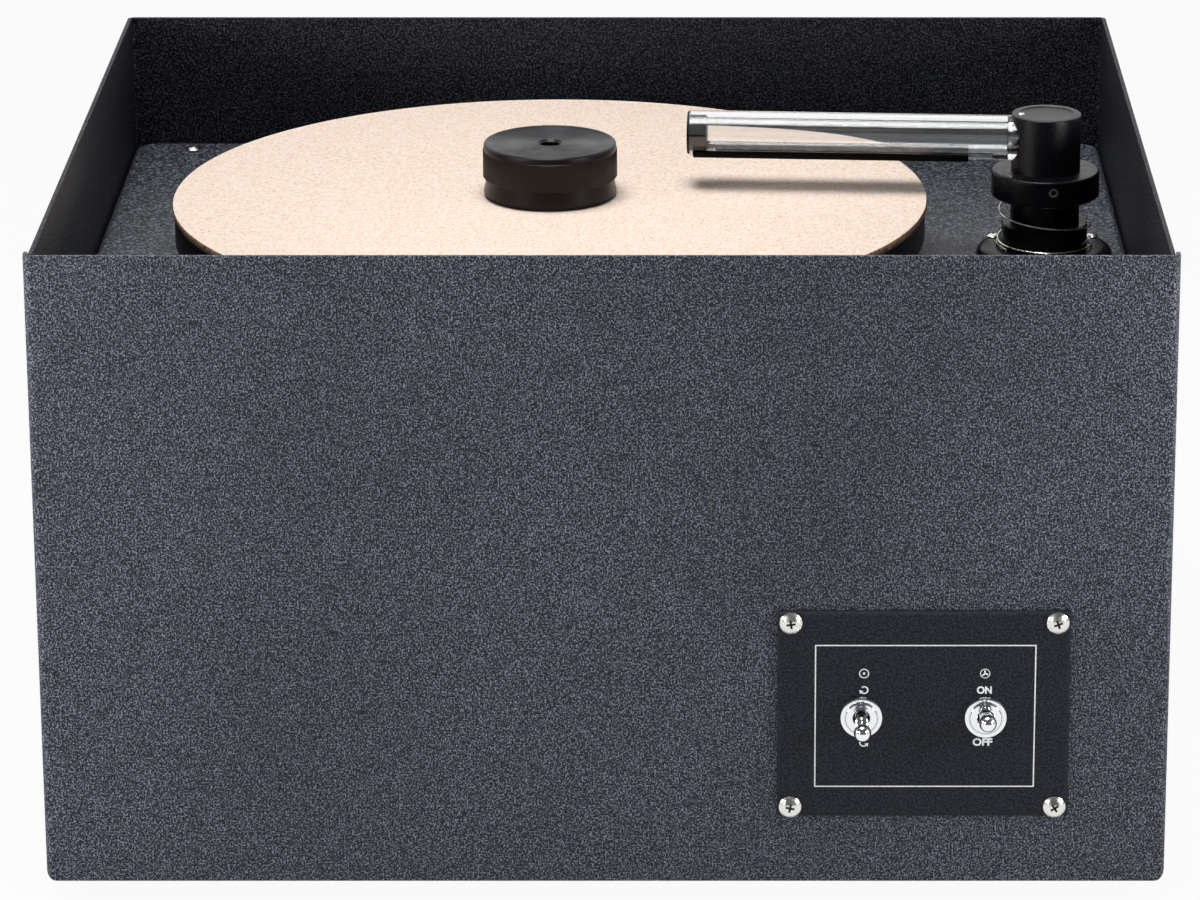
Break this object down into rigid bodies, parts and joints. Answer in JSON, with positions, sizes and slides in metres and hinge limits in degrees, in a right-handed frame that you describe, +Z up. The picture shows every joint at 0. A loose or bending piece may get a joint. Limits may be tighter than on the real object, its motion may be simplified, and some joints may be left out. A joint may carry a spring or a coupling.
{
  "type": "record cleaning machine",
  "caption": "Open-topped sheet metal record cleaner with a motor-driven cork-topped platter, a screw-down record clamp and a sprung swivelling clear suction tube over a waste tank.",
  "frame": {"origin": "centre of the outline in plan, on the surface that the feet stand on", "axes": "+Z up, +Y from the front panel to the rear, +X to the right as seen from the front"},
  "size_m": [0.423, 0.4294, 0.2582],
  "materials": {
    "case_coat": "textured satin",
    "wall_coat": "satin",
    "plate_coat": "satin",
    "zinc": "satin",
    "black_screw": "satin",
    "foot_rubber": "matte",
    "switch_body": "gloss",
    "chrome": "polished",
    "platter_coat": "satin",
    "cork": "matte",
    "alloy": "satin",
    "felt": "matte",
    "black_anodised": "satin",
    "brass": "satin",
    "gear_plastic": "satin",
    "motor_steel": "satin",
    "winding": "satin",
    "spring_steel": "polished",
    "clear_tube": "gloss",
    "black_plastic": "satin",
    "tank_plastic": "satin",
    "motor_coat": "satin",
    "tap_plastic": "satin",
    "key_plastic": "gloss",
    "block_plastic": "matte",
    "wire_cover": "matte"
  },
  "bodies": {
    "case": {"front_panel": "case_coat", "case_wrap": "wall_coat", "base_plate": "wall_coat", "deck_plate": "case_coat", "deck_pillars": "zinc", "deck_screws": "zinc", "case_screws": "black_screw", "panel_nuts": "zinc", "feet": "foot_rubber", "control_plate": "plate_coat", "control_plate_screws": "zinc", "turntable_switch": "switch_body", "vacuum_switch": "switch_body", "switch_nuts": "chrome", "gearcase": "alloy", "gearcase_lid": "alloy", "gearbox_mounts": "foot_rubber", "spindle_bushes": "brass", "motor_stator": "winding", "motor_can": "motor_steel", "motor_capacitor": "zinc", "tower_flange": "black_anodised", "lift_spring": "spring_steel", "waste_tank": "tank_plastic", "tank_lid": "tank_plastic", "tank_seals": "foot_rubber", "vacuum_hose": "black_plastic", "vacuum_stand": "zinc", "vacuum_motor": "motor_coat", "vacuum_housing": "alloy", "fan_frame": "black_plastic", "power_inlet": "black_plastic", "drain_tap": "tap_plastic", "terminal_block": "block_plastic", "wiring_loom": "wire_cover"},
    "turntable": {"platter": "platter_coat", "cork_mat": "cork", "spindle": "zinc", "platter_hub": "alloy", "hub_screws": "zinc", "output_gear": "gear_plastic"},
    "layshaft": {"cluster_gear": "gear_plastic"},
    "drive_rotor": {"motor_rotor": "motor_steel"},
    "clamp_foot": {"clamp_pad": "felt"},
    "clamp_grip": {"clamp_knob": "black_anodised", "clamp_insert": "brass"},
    "spring_washer": {"thrust_washer": "zinc"},
    "pickup_tower": {"tower_shaft": "black_anodised", "tower_collar": "black_anodised", "tower_screws": "zinc", "shaft_stop_ring": "zinc", "pickup_tube": "clear_tube", "tube_plug": "black_plastic", "velvet_strips": "felt"},
    "platter_lever": {"turntable_lever": "chrome"},
    "suction_lever": {"vacuum_lever": "chrome"},
    "cooling_rotor": {"fan_rotor": "black_plastic"},
    "suction_rotor": {"vacuum_impeller": "alloy"},
    "fuse_carrier": {"fuse_drawer": "black_plastic"},
    "drain_key": {"tap_key": "key_plastic"}
  },
  "joints": [
    {"name": "platter_spin", "type": "hinge", "parent": "case", "child": "turntable", "pos_m": [-0.0239, -0.0072, 0.1997], "axis": [0, 0, 1], "continuous": true},
    {"name": "layshaft_spin", "type": "hinge", "parent": "case", "child": "layshaft", "pos_m": [0.0061, -0.0072, 0.17], "axis": [0, 0, 1], "continuous": true},
    {"name": "rotor_spin", "type": "hinge", "parent": "case", "child": "drive_rotor", "pos_m": [0.0061, -0.032, 0.14], "axis": [0, 0, 1], "continuous": true},
    {"name": "clamp_lift", "type": "slide", "parent": "turntable", "child": "clamp_foot", "axis": [0, 0, 1], "range_m": [0, 0.012]},
    {"name": "clamp_turn", "type": "hinge", "parent": "clamp_foot", "child": "clamp_grip", "pos_m": [-0.0239, -0.0072, 0.236], "axis": [0, 0, 1], "range_deg": [0, 3060]},
    {"name": "tube_drop", "type": "slide", "parent": "case", "child": "spring_washer", "axis": [0, 0, 1], "range_m": [-0.01, 0], "stiffness_N_per_m": 60, "springref_m": 0.06, "deforming": ["lift_spring"]},
    {"name": "tube_swivel", "type": "hinge", "parent": "spring_washer", "child": "pickup_tower", "pos_m": [0.1736, -0.0025, 0.24], "axis": [0, 0, 1], "range_deg": [-95, 95]},
    {"name": "platter_switch", "type": "hinge", "parent": "case", "child": "platter_lever", "pos_m": [0.09615, -0.192, 0.07585], "axis": [1, 0, 0], "range_deg": [-11, 11]},
    {"name": "suction_switch", "type": "hinge", "parent": "case", "child": "suction_lever", "pos_m": [0.14265, -0.192, 0.07585], "axis": [1, 0, 0], "range_deg": [0, 22]},
    {"name": "fan_spin", "type": "hinge", "parent": "case", "child": "cooling_rotor", "pos_m": [0.01, 0.1609, 0.12], "axis": [0, 1, 0], "continuous": true},
    {"name": "impeller_spin", "type": "hinge", "parent": "case", "child": "suction_rotor", "pos_m": [-0.13585, 0.0765, 0.08], "axis": [0, 0, 1], "continuous": true},
    {"name": "fuse_slide", "type": "slide", "parent": "case", "child": "fuse_carrier", "axis": [0, 1, 0], "range_m": [0, 0.015]},
    {"name": "drain_turn", "type": "hinge", "parent": "case", "child": "drain_key", "pos_m": [0.13385, 0.1846, 0.024], "axis": [0, 0, 1], "range_deg": [0, 90]}
  ],
  "couplings": [
    {"joint": "layshaft_spin", "follows": "platter_spin", "ratio": -4},
    {"joint": "rotor_spin", "follows": "platter_spin", "ratio": 16.667},
    {"joint": "clamp_lift", "follows": "clamp_turn", "m_per_rad": 0.000224}
  ]
}
